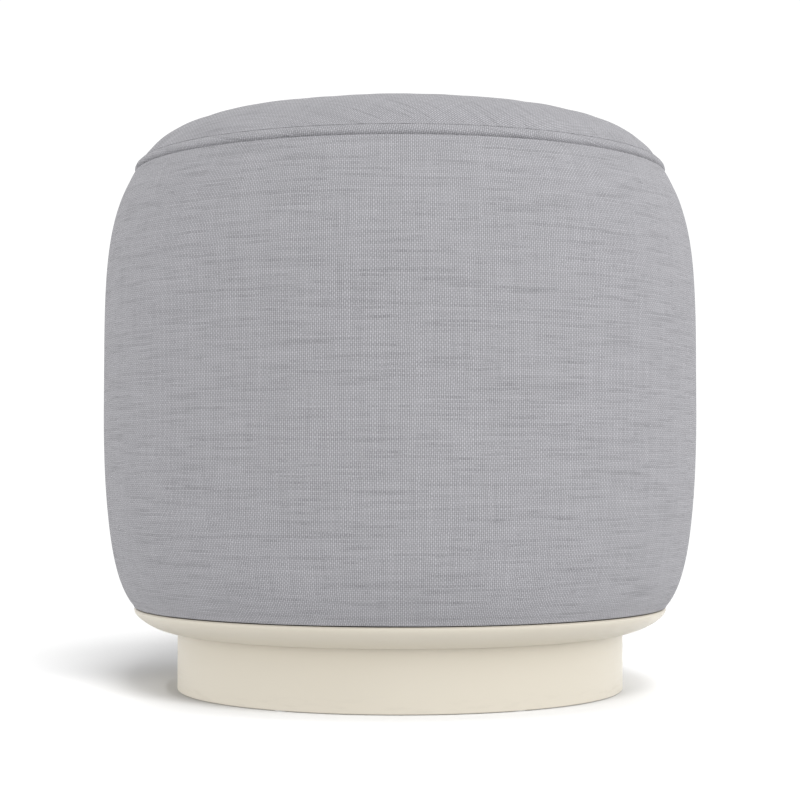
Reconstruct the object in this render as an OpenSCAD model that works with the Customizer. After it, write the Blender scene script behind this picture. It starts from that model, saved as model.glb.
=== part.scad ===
// Round upholstered swivel ottoman: a crowned, piped drum on a lacquered dish that turns on a
// recessed round plinth. Units are millimetres, +Z is up, and the origin is the centre of the floor
// face. Heights are measured from the floor, radii from the swivel axis.

/* [Upholstered drum] */
// Radius of the side at its widest
belly_r = 228.5; // [226:0.5:232]
// Height of the widest point
belly_z = 213.5; // [205:0.5:220]
// Height over which the side would close in above the widest point
side_upper_h = 225.7; // [222:0.1:232]
// Power of the superellipse above the widest point
side_upper_power = 4.42; // [4:0.01:5]
// Height over which the side would close in below the widest point
side_lower_h = 160.8; // [158:0.1:166]
// Inner power of the curve below the widest point
side_lower_power = 2.02; // [1.9:0.01:2.2]
// Outer power of the curve below the widest point
side_lower_root = 17.7; // [16:0.1:20]

/* [Crowned top] */
// Radius of the top panel where it stands upright
top_edge_r = 199; // [198:0.5:200]
// Height where the top panel stands upright
top_edge_z = 406.3; // [406:0.1:408]
// Rise of the rounded shoulder
shoulder_h = 26.7; // [22:0.1:30]
// Power that sets how far in the shoulder begins
shoulder_power = 8.4; // [6:0.1:11]
// Power that rounds the shoulder's edge
shoulder_root = 1.06; // [1:0.01:1.3]
// Extra rise of the crown at the centre
crown_h = 7; // [0:0.5:14]

/* [Cover layers] */
// Thickness of the upholstery cloth
cloth_t = 1.2; // [0.8:0.1:1.4]
// Thickness of the polyester batting under the cloth
batting_t = 6; // [4:0.5:7]
// Width of the sewn allowances inside the seam
allowance_w = 12; // [8:1:12]

/* [Welt] */
// Radius of the welt's ring, at the middle of its cord
welt_ring_r = 200.4; // [200:0.1:201]
// Height of the middle of the welt
welt_z = 398.1; // [397.6:0.1:398.6]
// Outer radius of the covered cord
welt_r = 5.3; // [5:0.1:5.5]

/* [Dish] */
// Radius of the dish's rim
dish_rim_r = 204.7; // [204:0.1:207]
// Height of the dish's top face
dish_top_z = 63; // [62.5:0.1:63.5]
// Height of the dish's lowest face
dish_bottom_z = 46; // [45:0.1:47]
// Height where the rim starts to round under
dish_turn_z = 61.3; // [60:0.1:61.8]
// Width of the rounded underside
dish_round_w = 27.6; // [24:0.1:28]
// Power of the rounded underside: 1 is a chamfer, 2 an ellipse
dish_round_power = 1.5; // [1.2:0.1:2.2]
// Radius of the recess that hides the swivel
recess_r = 174.3; // [174:0.1:175.5]
// Depth of the recess
recess_h = 6; // [5.5:0.1:6.5]

/* [Plinth] */
// Outer radius of the plinth
plinth_r = 171.7; // [170:0.1:172]
// Wall thickness of the plinth
plinth_wall_t = 12; // [10:0.5:14]
// How far the plinth wall stops short of the recess ceiling
plinth_top_gap = 3; // [2:0.5:4]
// How far the glides hold the plinth off the floor
glide_h = 0.6; // [0.5:0.1:2]
// Number of floor glides
glide_count = 6; // [4:1:10]
// Thickness of the plinth's top board
top_board_t = 15; // [12:1:18]

/* [Swivel bearing] */
// Side of the square pressed-steel plates
plate_w = 200; // [190:1:204]
// Gauge of the plates
plate_t = 1.5; // [1.2:0.1:1.6]
// Height of the bearing over both plates
bearing_h = 10; // [9.6:0.1:10.6]
// Radius of the ball circle
ball_ring_r = 80; // [78:1:84]
// Radius of a bearing ball
ball_r = 3; // [2.9:0.1:3.2]
// Number of balls
ball_count = 28; // [16:1:32]
// Distance of each plate screw from the middle, along X and along Y
plate_hole_xy = 85; // [80:1:88]

/* [Frame] */
// Thickness of the base board and the top ring
board_t = 15; // [12:1:18]
// Outer radius of the frame boards
board_r = 188; // [184:1:188]
// Thickness of the bent wall around the frame
drum_wall_t = 3; // [2:0.5:3]
// Height of the top face of the top ring
ring_top_z = 368; // [360:1:368]
// Inner radius of the top ring
ring_inner_r = 140; // [134:1:144]
// Number of uprights
post_count = 8; // [4:4:8]
// Width of one webbing strap
strap_w = 50; // [44:1:52]
// Distance between the middles of two straps
strap_pitch = 64; // [62:1:66]
// Thickness of one webbing strap
strap_t = 1.6; // [1.2:0.1:2]

/* [Hidden] */
$fn = 96;

// Colours
cloth_colour = [0.69, 0.69, 0.71];
cream_colour = [0.88, 0.86, 0.79];
ply_colour = [0.80, 0.66, 0.47];
pine_colour = [0.87, 0.74, 0.52];
fibreboard_colour = [0.55, 0.42, 0.30];
zinc_colour = [0.72, 0.73, 0.75];
foam_colour = [0.95, 0.90, 0.72];
batting_colour = [0.96, 0.96, 0.95];
webbing_colour = [0.35, 0.30, 0.26];
black_colour = [0.12, 0.12, 0.13];
nylon_colour = [0.90, 0.90, 0.88];

// Smallest gap left between two pieces that fit each other
fit_gap = 0.05;
// How far a cutting shape runs past the faces it cuts
cut = 1;
// How far two shapes of one piece run into each other
weld = 0.5;
// Gaps left around the padding
pad_gap = 0.1;
foam_gap = 0.2;
// Steps in a drawn profile
profile_steps = 36;
arc_steps = 14;

// Heights that follow from the dish and the plinth
recess_top_z = dish_bottom_z + recess_h;
plinth_top_z = recess_top_z - plinth_top_gap;
board_top_z = recess_top_z - bearing_h;
cleat_h = 20;
cleat_count = 8;
cleat_first_angle = 180 / cleat_count;
cleat_radial = 24;
cleat_bottom_z = board_top_z - top_board_t - cleat_h;
plinth_inner_r = plinth_r - plinth_wall_t;

// Swivel bearing: both plates mirror each other about the ball plane
ball_z = recess_top_z - bearing_h / 2;
race_gap = 0.15;
race_r = ball_r + race_gap;
race_angle = 25;
race_lip_h = race_r * sin(race_angle);
race_lip_w = race_r * cos(race_angle);
bead_w = 6.5;
race_rim_w = 4;
cage_t = 1.6;
cage_w = 12;
eyelet_r = 57;
eyelet_t = 1.5;
plate_corner_r = 12;

// Screws and bolts
screw_r = 1.9;
screw_head_r = 4;
screw_head_h = 2.3;
tip_h = 3;
tip_r = 0.3;
bolt_r = 3.95;
bolt_circle_r = 145;
bolt_count = 4;
bolt_head_r = 7;
bolt_head_h = 3.8;
washer_r = 9;
washer_t = 1.6;
counterbore_h = 4;
tee_flange_t = 1.2;
tee_barrel_r = 5;
tee_barrel_h = 11;

// Frame heights
frame_bottom_z = dish_top_z + cloth_t;
post_bottom_z = frame_bottom_z + board_t;
ring_bottom_z = ring_top_z - board_t;
drum_outer_r = board_r + drum_wall_t;
post_radial = 32;
post_tangent = 45;
post_r = 164;
strap_count = 4;
strap_end_r = 182;
crossing_gap = 1;
foam_bottom_z = ring_top_z + 2 * strap_t + foam_gap;

// Seam: the cloths wrap the welt and run inwards as flat allowances
wrap_r = welt_r + fit_gap;
seam_inner_r = welt_ring_r - wrap_r;
allowance_r = seam_inner_r - allowance_w;
flange_half_t = cloth_t / 2;
side_drop = 3.3;
side_top_z = welt_z - side_drop;
side_pad_top_z = welt_z - wrap_r - cloth_t - pad_gap;
allowance_h = flange_half_t + cloth_t;
side_allowance_z = welt_z - allowance_h;
top_allowance_z = welt_z + allowance_h;
hem_inner_r = 172;
pad_inset = cloth_t + batting_t;

// Staples
staple_w = 10;
staple_wire = 1;
staple_t = 0.6;
staple_leg_h = 7;
hem_staple_r = 179;
hem_staple_count = 36;
staple_groove_w = 10;
staple_groove_h = 1.2;

// ---- Profiles -------------------------------------------------------------------------------

// Radius of the side at height z: a superellipse above the belly and a fuller one below it
function superellipse(t, inner, root) = pow(1 - pow(t, inner), 1 / root);
function side_r(z) = belly_r * (z > belly_z
    ? superellipse((z - belly_z) / side_upper_h, side_upper_power, side_upper_power)
    : superellipse((belly_z - z) / side_lower_h, side_lower_power, side_lower_root));

// Height of the top panel at radius r
function top_z(r) = top_edge_z
    + shoulder_h * superellipse(r / top_edge_r, shoulder_power, shoulder_root)
    + crown_h * (1 - pow(r / top_edge_r, 2));

// Points up the side, set in by d, from height z0 to z1
function side_points(d, z0, z1) = [
    for (i = [0:profile_steps]) let (z = z0 + (z1 - z0) * i / profile_steps) [side_r(z) - d, z]
];

// Points over the top from the middle outwards, set in by d; close together at the shoulder
function top_points(d) = [
    for (i = [0:profile_steps]) let (r = top_edge_r * sin(90 * i / profile_steps))
        [r * (1 - d / top_edge_r), top_z(r) - d]
];

// The part of a falling outline that lies above height z, ended where it crosses z or straight
// below its last point
function cut_at(points, z) = let (
    kept = [for (p = points) if (p[1] > z) p],
    above = points[len(kept) - 1],
    below = len(kept) < len(points) ? points[len(kept)] : [above[0], z]
) concat(kept, [above + (below - above) * (above[1] - z) / (above[1] - below[1])]);

// An arc about the middle of the welt
function welt_arc(r, a0, a1) = [
    for (i = [0:arc_steps]) let (a = a0 + (a1 - a0) * i / arc_steps)
        [welt_ring_r + r * cos(a), welt_z + r * sin(a)]
];

function reverse(list) = [for (i = [len(list) - 1:-1:0]) list[i]];

// Angle at which a circle of radius r about the welt is h above or below the welt's middle
function welt_angle(r, h) = asin(h / r);

// The rounded underside of the dish, from the rim to the lowest face
function dish_underside() = [
    for (i = [0:arc_steps]) let (a = 90 * i / arc_steps)
        [dish_rim_r - dish_round_w * (1 - pow(cos(a), 2 / dish_round_power)),
         dish_turn_z - (dish_turn_z - dish_bottom_z) * pow(sin(a), 2 / dish_round_power)]
];

// ---- Shared shapes --------------------------------------------------------------------------

module revolve(points) {
    rotate_extrude() polygon(points);
}

module around(count, r, first_angle = 0) {
    for (i = [0:count - 1])
        rotate([0, 0, first_angle + 360 * i / count])
            translate([r, 0, 0])
                children();
}

module at_plate_corners() {
    for (x = [-1, 1], y = [-1, 1])
        translate([x * plate_hole_xy, y * plate_hole_xy, 0])
            children();
}

// A wood screw with its head's underside at z = 0, pointing down
module wood_screw(shank_h, head_h = screw_head_h) {
    cylinder(r = screw_head_r, h = head_h);
    translate([0, 0, tip_h - shank_h])
        cylinder(r = screw_r, h = shank_h - tip_h + weld);
    translate([0, 0, -shank_h])
        cylinder(r1 = tip_r, r2 = screw_r, h = tip_h);
}

// A staple with its crown's upper face at z = 0, across the X axis, and its legs pointing down
module staple() {
    translate([-staple_wire / 2, -staple_w / 2, -staple_t])
        cube([staple_wire, staple_w, staple_t]);
    for (y = [-staple_w / 2, staple_w / 2 - staple_t])
        translate([-staple_wire / 2, y, -staple_leg_h])
            cube([staple_wire, staple_t, staple_leg_h]);
}

// ---- Plinth ---------------------------------------------------------------------------------

module plinth_wall() {
    edge = 0.5;
    color(cream_colour)
        revolve([
            [plinth_inner_r, glide_h],
            [plinth_r - edge, glide_h],
            [plinth_r, glide_h + edge],
            [plinth_r, plinth_top_z - edge],
            [plinth_r - edge, plinth_top_z],
            [plinth_inner_r, plinth_top_z]
        ]);
}

// The access hole lets a driver reach each screw of the upper plate in turn
module plinth_top_board() {
    access_r = 8;
    color(ply_colour)
        difference() {
            translate([0, 0, board_top_z - top_board_t])
                cylinder(r = plinth_inner_r - fit_gap, h = top_board_t);
            translate([plate_hole_xy * sqrt(2), 0, board_top_z - top_board_t - cut])
                cylinder(r = access_r, h = top_board_t + 2 * cut);
        }
}

module plinth_cleats() {
    cleat_w = 36;
    wall_overlap = 5;
    color(pine_colour)
        intersection() {
            translate([0, 0, cleat_bottom_z])
                cylinder(r = plinth_inner_r - fit_gap, h = cleat_h);
            around(cleat_count, plinth_inner_r - cleat_radial, cleat_first_angle)
                translate([0, -cleat_w / 2, cleat_bottom_z])
                    cube([cleat_radial + wall_overlap, cleat_w, cleat_h]);
        }
}

module cleat_screws() {
    tip_cover = 4;
    screw_h = cleat_h + top_board_t - tip_cover;
    color(zinc_colour)
        around(cleat_count, plinth_inner_r - cleat_radial / 2, cleat_first_angle)
            translate([0, 0, cleat_bottom_z])
                mirror([0, 0, 1])
                    wood_screw(screw_h);
}

module floor_glides() {
    glide_r = 5.2;
    chamfer = 0.3;
    pin_r = 1.1;
    pin_h = 11;
    color(nylon_colour)
        around(glide_count, plinth_r - plinth_wall_t / 2) {
            cylinder(r1 = glide_r - chamfer, r2 = glide_r, h = chamfer);
            translate([0, 0, chamfer])
                cylinder(r = glide_r, h = glide_h - chamfer);
            translate([0, 0, glide_h - chamfer])
                cylinder(r = pin_r, h = pin_h);
        }
}

// ---- Swivel bearing -------------------------------------------------------------------------

// Section of the pressed race of the lower plate, from the flat out to the inner flange
function race_section(inner_r) = let (
    wall_w = 2,
    bed_half_w = 2,
    outer_turn_w = 0.9,
    inner_turn_w = 1,
    bottom = board_top_z,
    flat = board_top_z + plate_t,
    lip = ball_z - race_lip_h,
    flange = lip - plate_t,
    bed = ball_z - race_r - plate_t
) concat(
    [
        [ball_ring_r + bead_w + race_rim_w, bottom],
        [ball_ring_r + bead_w + race_rim_w, flat],
        [ball_ring_r + bead_w, flat],
        [ball_ring_r + bead_w - wall_w, lip]
    ],
    [for (i = [0:arc_steps])
        let (a = -race_angle - (180 - 2 * race_angle) * i / arc_steps)
            [ball_ring_r + race_r * cos(a), ball_z + race_r * sin(a)]],
    [
        [inner_r, lip],
        [inner_r, flange],
        [ball_ring_r - race_lip_w - inner_turn_w, flange],
        [ball_ring_r - bed_half_w, bed],
        [ball_ring_r + bed_half_w, bed],
        [ball_ring_r + race_lip_w + outer_turn_w, flange],
        [ball_ring_r + bead_w - outer_turn_w, bottom]
    ]
);

module rounded_plate() {
    inner_w = plate_w - 2 * plate_corner_r;
    square([plate_w, inner_w], center = true);
    square([inner_w, plate_w], center = true);
    for (x = [-1, 1], y = [-1, 1])
        translate([x * inner_w / 2, y * inner_w / 2])
            circle(r = plate_corner_r);
}

module pressed_plate(inner_r) {
    screw_hole_r = 2.4;
    difference() {
        translate([0, 0, board_top_z])
            linear_extrude(plate_t)
                rounded_plate();
        translate([0, 0, board_top_z - cut])
            cylinder(r = ball_ring_r + bead_w + race_rim_w / 2, h = plate_t + 2 * cut);
        at_plate_corners()
            translate([0, 0, board_top_z - cut])
                cylinder(r = screw_hole_r, h = plate_t + 2 * cut);
    }
    revolve(race_section(inner_r));
}

module swivel_lower_plate() {
    running_gap = 2;
    color(zinc_colour)
        pressed_plate(eyelet_r + eyelet_t + running_gap);
}

module swivel_upper_plate() {
    color(zinc_colour)
        translate([0, 0, 2 * ball_z])
            mirror([0, 0, 1])
                pressed_plate(eyelet_r + eyelet_t + fit_gap);
}

// The eyelet is curled over both inner flanges and holds the plates together
module swivel_eyelet() {
    curl_w = 9;
    curl_gap = 0.45;
    upper_flange_z = ball_z + race_lip_h + plate_t;
    lower_flange_z = ball_z - race_lip_h - plate_t;
    curl_t = 1.1;
    color(zinc_colour)
        revolve([
            [eyelet_r, lower_flange_z - curl_gap - curl_t],
            [eyelet_r + curl_w, lower_flange_z - curl_gap - curl_t],
            [eyelet_r + curl_w, lower_flange_z - curl_gap],
            [eyelet_r + eyelet_t, lower_flange_z - curl_gap],
            [eyelet_r + eyelet_t, upper_flange_z],
            [eyelet_r + curl_w / 2, upper_flange_z],
            [eyelet_r + curl_w / 2, upper_flange_z + curl_t],
            [eyelet_r, upper_flange_z + curl_t]
        ]);
}

module bearing_balls() {
    color(zinc_colour)
        around(ball_count, ball_ring_r)
            translate([0, 0, ball_z])
                sphere(r = ball_r);
}

module ball_cage() {
    color(nylon_colour)
        translate([0, 0, ball_z - cage_t / 2])
            difference() {
                cylinder(r = ball_ring_r + cage_w / 2, h = cage_t);
                translate([0, 0, -cut])
                    cylinder(r = ball_ring_r - cage_w / 2, h = cage_t + 2 * cut);
                around(ball_count, ball_ring_r)
                    translate([0, 0, -cut])
                        cylinder(r = race_r, h = cage_t + 2 * cut);
            }
}

module lower_plate_screws() {
    tip_cover = 1;
    color(zinc_colour)
        at_plate_corners()
            translate([0, 0, board_top_z + plate_t])
                wood_screw(top_board_t - tip_cover);
}

module upper_plate_screws() {
    screw_h = 9.5;
    color(zinc_colour)
        at_plate_corners()
            translate([0, 0, recess_top_z - plate_t])
                mirror([0, 0, 1])
                    wood_screw(screw_h);
}

// ---- Dish and its bolts ---------------------------------------------------------------------

module base_dish() {
    edge = 0.8;
    hole_r = 4.3;
    bore_gap = 0.5;
    groove_in_r = hem_staple_r - staple_groove_w / 2;
    groove_out_r = hem_staple_r + staple_groove_w / 2;
    color(cream_colour)
        difference() {
            revolve(concat(
                [
                    [0, recess_top_z],
                    [0, dish_top_z],
                    [groove_in_r, dish_top_z],
                    [groove_in_r, dish_top_z - staple_groove_h],
                    [groove_out_r, dish_top_z - staple_groove_h],
                    [groove_out_r, dish_top_z],
                    [dish_rim_r - edge, dish_top_z],
                    [dish_rim_r, dish_top_z - edge]
                ],
                dish_underside(),
                [
                    [recess_r, dish_bottom_z],
                    [recess_r, recess_top_z]
                ]
            ));
            around(bolt_count, bolt_circle_r) {
                translate([0, 0, recess_top_z - cut])
                    cylinder(r = hole_r, h = dish_top_z - recess_top_z + 2 * cut);
                translate([0, 0, recess_top_z - cut])
                    cylinder(r = washer_r + bore_gap, h = counterbore_h + cut);
            }
        }
}

module dish_bolts() {
    seat_z = recess_top_z + counterbore_h - washer_t;
    socket_w = 5;
    socket_h = 2.4;
    head_taper = 2;
    past_nut = 2;
    color(zinc_colour)
        around(bolt_count, bolt_circle_r)
            difference() {
                union() {
                    translate([0, 0, seat_z - bolt_head_h])
                        cylinder(r1 = bolt_head_r - head_taper, r2 = bolt_head_r, h = bolt_head_h);
                    translate([0, 0, seat_z])
                        cylinder(r = bolt_r, h = post_bottom_z + past_nut - seat_z);
                }
                translate([0, 0, seat_z - bolt_head_h - cut])
                    cylinder(d = socket_w / cos(30), h = socket_h + cut, $fn = 6);
            }
}

module bolt_washers() {
    bore_gap = 0.2;
    color(zinc_colour)
        around(bolt_count, bolt_circle_r)
            translate([0, 0, recess_top_z + counterbore_h - washer_t])
                difference() {
                    cylinder(r = washer_r, h = washer_t);
                    translate([0, 0, -cut])
                        cylinder(r = bolt_r + bore_gap, h = washer_t + 2 * cut);
                }
}

module tee_nuts() {
    flange_r = 10;
    prong_w = 3;
    prong_h = 6;
    bore_h = tee_barrel_h + tee_flange_t;
    color(zinc_colour)
        around(bolt_count, bolt_circle_r)
            difference() {
                union() {
                    translate([0, 0, post_bottom_z])
                        cylinder(r = flange_r, h = tee_flange_t);
                    translate([0, 0, post_bottom_z - tee_barrel_h])
                        cylinder(r = tee_barrel_r, h = tee_barrel_h + weld);
                    around(3, flange_r - tee_flange_t)
                        translate([-tee_flange_t / 2, -prong_w / 2, post_bottom_z - prong_h])
                            cube([tee_flange_t, prong_w, prong_h + weld]);
                }
                translate([0, 0, post_bottom_z - tee_barrel_h - cut])
                    cylinder(r = bolt_r + fit_gap, h = bore_h + 2 * cut);
            }
}

module dust_cover() {
    cover_t = 0.6;
    edge_gap = 0.2;
    hole_gap = 0.6;
    color(black_colour)
        translate([0, 0, frame_bottom_z - cover_t])
            difference() {
                cylinder(r = hem_inner_r - edge_gap, h = cover_t);
                around(bolt_count, bolt_circle_r)
                    translate([0, 0, -cut])
                        cylinder(r = bolt_r + hole_gap, h = cover_t + 2 * cut);
            }
}

// ---- Frame ----------------------------------------------------------------------------------

module frame_base_board() {
    color(ply_colour)
        translate([0, 0, frame_bottom_z])
            difference() {
                cylinder(r = board_r - fit_gap, h = board_t);
                around(bolt_count, bolt_circle_r)
                    translate([0, 0, -cut])
                        cylinder(r = tee_barrel_r + fit_gap, h = board_t + 2 * cut);
            }
}

module frame_posts() {
    color(pine_colour)
        around(post_count, post_r, 180 / post_count)
            translate([-post_radial / 2, -post_tangent / 2, post_bottom_z])
                cube([post_radial, post_tangent, ring_bottom_z - post_bottom_z]);
}

module post_screws() {
    screw_h = 45;
    color(zinc_colour)
        around(post_count, post_r, 180 / post_count) {
            translate([0, 0, ring_top_z - screw_head_h])
                wood_screw(screw_h);
            translate([0, 0, frame_bottom_z + screw_head_h])
                mirror([0, 0, 1])
                    wood_screw(screw_h);
        }
}

module frame_top_ring() {
    color(ply_colour)
        translate([0, 0, ring_bottom_z])
            difference() {
                cylinder(r = board_r - fit_gap, h = board_t);
                translate([0, 0, -cut])
                    cylinder(r = ring_inner_r, h = board_t + 2 * cut);
            }
}

module drum_wall() {
    color(fibreboard_colour)
        revolve([
            [board_r, frame_bottom_z],
            [drum_outer_r, frame_bottom_z],
            [drum_outer_r, ring_top_z],
            [board_r, ring_top_z]
        ]);
}

// ---- Webbing --------------------------------------------------------------------------------

function strap_pos(i) = (i - (strap_count - 1) / 2) * strap_pitch;
function strap_half_length(i) =
    sqrt(pow(strap_end_r, 2) - pow(abs(strap_pos(i)) + strap_w / 2, 2));

// Lower face of strap i, which runs over every second strap that it crosses
function strap_path(i) = let (e = strap_half_length(i), half = strap_w / 2 + crossing_gap) concat(
    [[-e, 0]],
    [for (k = [0:strap_count - 1], side = [-1, 1])
        [strap_pos(k) + side * half, (i + k) % 2 == 0 ? strap_t : 0]],
    [[e, 0]]
);

module woven_straps() {
    for (i = [0:strap_count - 1]) {
        path = strap_path(i);
        translate([0, strap_pos(i) + strap_w / 2, ring_top_z])
            rotate([90, 0, 0])
                linear_extrude(strap_w)
                    polygon(concat(path, reverse([for (p = path) p + [0, strap_t]])));
    }
}

module webbing_side_side() {
    color(webbing_colour)
        woven_straps();
}

module webbing_front_back() {
    color(webbing_colour)
        rotate([0, 0, 90])
            woven_straps();
}

module webbing_staples() {
    end_inset = 6;
    staple_pitch = 16;
    color(zinc_colour)
        for (turn = [0, 90], i = [0:strap_count - 1], side = [-1, 1], k = [-1:1])
            rotate([0, 0, turn])
                translate([
                    side * (strap_half_length(i) - end_inset),
                    strap_pos(i) + k * staple_pitch,
                    ring_top_z + strap_t + staple_t
                ])
                    staple();
}

// ---- Padding and covers ---------------------------------------------------------------------

module side_foam() {
    lip_inset = 2.6;
    lip_r = seam_inner_r - lip_inset;
    color(foam_colour)
        revolve(concat(
            [
                [allowance_r, ring_top_z],
                [drum_outer_r + fit_gap, ring_top_z],
                [drum_outer_r + fit_gap, frame_bottom_z]
            ],
            side_points(pad_inset, frame_bottom_z, side_pad_top_z),
            [
                [lip_r, side_pad_top_z],
                [lip_r, side_allowance_z - pad_gap],
                [allowance_r, side_allowance_z - pad_gap]
            ]
        ));
}

module side_batting() {
    color(batting_colour)
        revolve(concat(
            side_points(cloth_t, frame_bottom_z, side_pad_top_z),
            reverse(side_points(pad_inset, frame_bottom_z, side_pad_top_z))
        ));
}

// One strip of cloth: the hem is turned under the base board, and the top wraps the welt
module side_cover() {
    wrap_outer = wrap_r + cloth_t;
    hem_edge = 1;
    color(cloth_colour)
        revolve(concat(
            [
                [hem_inner_r, dish_top_z],
                [side_r(dish_top_z) - hem_edge, dish_top_z]
            ],
            side_points(0, dish_top_z + hem_edge, side_top_z),
            welt_arc(
                wrap_r, -welt_angle(wrap_r, side_drop), welt_angle(wrap_r, flange_half_t) - 180
            ),
            [
                [seam_inner_r, welt_z - flange_half_t],
                [allowance_r, welt_z - flange_half_t],
                [allowance_r, side_allowance_z]
            ],
            reverse(welt_arc(wrap_outer, -90, welt_angle(wrap_outer, allowance_h) - 180)),
            reverse(side_points(cloth_t, frame_bottom_z, side_pad_top_z)),
            [[hem_inner_r, frame_bottom_z]]
        ));
}

module seat_foam() {
    tier_gap = 0.3;
    lip_z = top_allowance_z + foam_gap;
    tier_r = allowance_r - tier_gap;
    color(foam_colour)
        revolve(concat(
            [[0, foam_bottom_z]],
            cut_at(top_points(pad_inset), lip_z),
            [
                [tier_r, lip_z],
                [tier_r, foam_bottom_z]
            ]
        ));
}

module seat_batting() {
    batting_z = top_edge_z - cloth_t + foam_gap;
    color(batting_colour)
        revolve(concat(
            cut_at(top_points(cloth_t), batting_z),
            reverse(cut_at(top_points(pad_inset), batting_z))
        ));
}

// The round top panel: the crown, its upright edge, the wrap over the welt and the allowance
module top_cover() {
    wrap_outer = wrap_r + cloth_t;
    outer_angle = acos((top_edge_r - welt_ring_r) / wrap_r);
    inner_angle = acos((top_edge_r - cloth_t - welt_ring_r) / wrap_outer);
    color(cloth_colour)
        revolve(concat(
            top_points(0),
            welt_arc(wrap_r, outer_angle, 180 - welt_angle(wrap_r, flange_half_t)),
            [
                [seam_inner_r, welt_z + flange_half_t],
                [allowance_r, welt_z + flange_half_t],
                [allowance_r, top_allowance_z]
            ],
            reverse(welt_arc(wrap_outer, inner_angle, 180 - welt_angle(wrap_outer, allowance_h))),
            reverse(top_points(cloth_t))
        ));
}

module welt_cover() {
    flange_end_r = welt_ring_r - welt_r + cloth_t / 2;
    color(cloth_colour)
        rotate_extrude() {
            translate([welt_ring_r, welt_z])
                difference() {
                    circle(r = welt_r);
                    circle(r = welt_r - cloth_t);
                }
            translate([allowance_r, welt_z - flange_half_t])
                square([flange_end_r - allowance_r, cloth_t]);
        }
}

module welt_cord() {
    color(nylon_colour)
        rotate_extrude()
            translate([welt_ring_r, welt_z])
                circle(r = welt_r - cloth_t - fit_gap);
}

// The lockstitch that closes the seam: one thread above and one below the allowances
module seam_thread() {
    thread_r = 0.3;
    stitch_inset = 1.8;
    color(cloth_colour)
        for (z = [top_allowance_z + thread_r, side_allowance_z - thread_r])
            rotate_extrude()
                translate([seam_inner_r - stitch_inset, z])
                    circle(r = thread_r);
}

// Staples that fix the hem to the underside of the base board
module cover_staples() {
    color(zinc_colour)
        around(hem_staple_count, hem_staple_r)
            translate([0, 0, dish_top_z - staple_t])
                mirror([0, 0, 1])
                    staple();
}

plinth_wall();
plinth_top_board();
plinth_cleats();
cleat_screws();
floor_glides();
swivel_lower_plate();
lower_plate_screws();
bearing_balls();
ball_cage();
swivel_upper_plate();
swivel_eyelet();
upper_plate_screws();
base_dish();
dish_bolts();
bolt_washers();
tee_nuts();
dust_cover();
frame_base_board();
frame_posts();
post_screws();
frame_top_ring();
drum_wall();
webbing_front_back();
webbing_side_side();
webbing_staples();
side_foam();
side_batting();
side_cover();
seat_foam();
seat_batting();
top_cover();
welt_cover();
welt_cord();
seam_thread();
cover_staples();
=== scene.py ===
"""Looks for the round swivel ottoman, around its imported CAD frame. Metres, +Z up, the front faces -Y."""

import math

import bpy
import numpy as np
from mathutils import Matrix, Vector
from mathutils.geometry import delaunay_2d_cdt


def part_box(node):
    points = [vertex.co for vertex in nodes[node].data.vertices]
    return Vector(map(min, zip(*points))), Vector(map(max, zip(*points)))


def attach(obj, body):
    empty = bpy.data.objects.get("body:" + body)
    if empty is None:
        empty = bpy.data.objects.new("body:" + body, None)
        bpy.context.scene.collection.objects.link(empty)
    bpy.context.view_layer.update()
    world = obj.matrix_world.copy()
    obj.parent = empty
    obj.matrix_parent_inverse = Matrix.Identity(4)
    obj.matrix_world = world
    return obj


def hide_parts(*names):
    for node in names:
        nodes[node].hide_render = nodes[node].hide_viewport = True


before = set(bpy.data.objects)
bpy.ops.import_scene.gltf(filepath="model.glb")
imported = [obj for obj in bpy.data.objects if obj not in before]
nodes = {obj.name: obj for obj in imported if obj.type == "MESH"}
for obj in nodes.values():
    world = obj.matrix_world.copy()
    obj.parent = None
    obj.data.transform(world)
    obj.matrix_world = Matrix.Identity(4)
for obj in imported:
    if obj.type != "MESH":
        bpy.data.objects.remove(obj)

MM = 0.001
TURN = 2 * math.pi
BACK = math.pi / 2  # the covers are closed at the back, at +Y
SEED = 41

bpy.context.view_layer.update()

# ---- Sizes, from the frame and from the CAD outline's own formula ------------------------------

side_low, side_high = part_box("side_cover")
top_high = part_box("top_cover")[1]
welt_low, welt_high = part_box("welt_cover")

belly_r = side_high.x
hem_z = side_low.z
belly_z = 213.5 * MM
side_upper_h, side_upper_power = 225.7 * MM, 4.42
side_lower_h, side_lower_power, side_lower_root = 160.8 * MM, 2.02, 17.7

crown_z = top_high.z
top_edge_r = 199 * MM
top_edge_z = 406.3 * MM
crown_h = 7 * MM
shoulder_h = crown_z - crown_h - top_edge_z
shoulder_power, shoulder_root = 8.4, 1.06

welt_r = (welt_high.z - welt_low.z) / 2
welt_z = (welt_high.z + welt_low.z) / 2
welt_ring_r = welt_high.x - welt_r

frame_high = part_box("frame_top_ring")[1]
drum_low, drum_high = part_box("drum_wall")
strap_low, strap_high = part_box("webbing_side_side")
dust_low, dust_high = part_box("dust_cover")
seat_foam_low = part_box("seat_foam")[0]

cloth_t = 1.2 * MM
batting_t = 6 * MM
pad_inset = cloth_t + batting_t
wrap_r = welt_r + 0.05 * MM
seam_r = welt_ring_r - wrap_r
allowance_r = seam_r - 12 * MM
allowance_half = 1.5 * cloth_t
hem_inner_r = 172 * MM
hem_gap = 0.8 * MM
air = 0.12 * MM  # left between layers that touch
drum_r = drum_high.x
board_top_z = frame_high.z
frame_bottom_z = drum_low.z
yarn_pitch = 1.45 * MM
hem_staples = 36
strap_ends_r = 182 * MM


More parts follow.
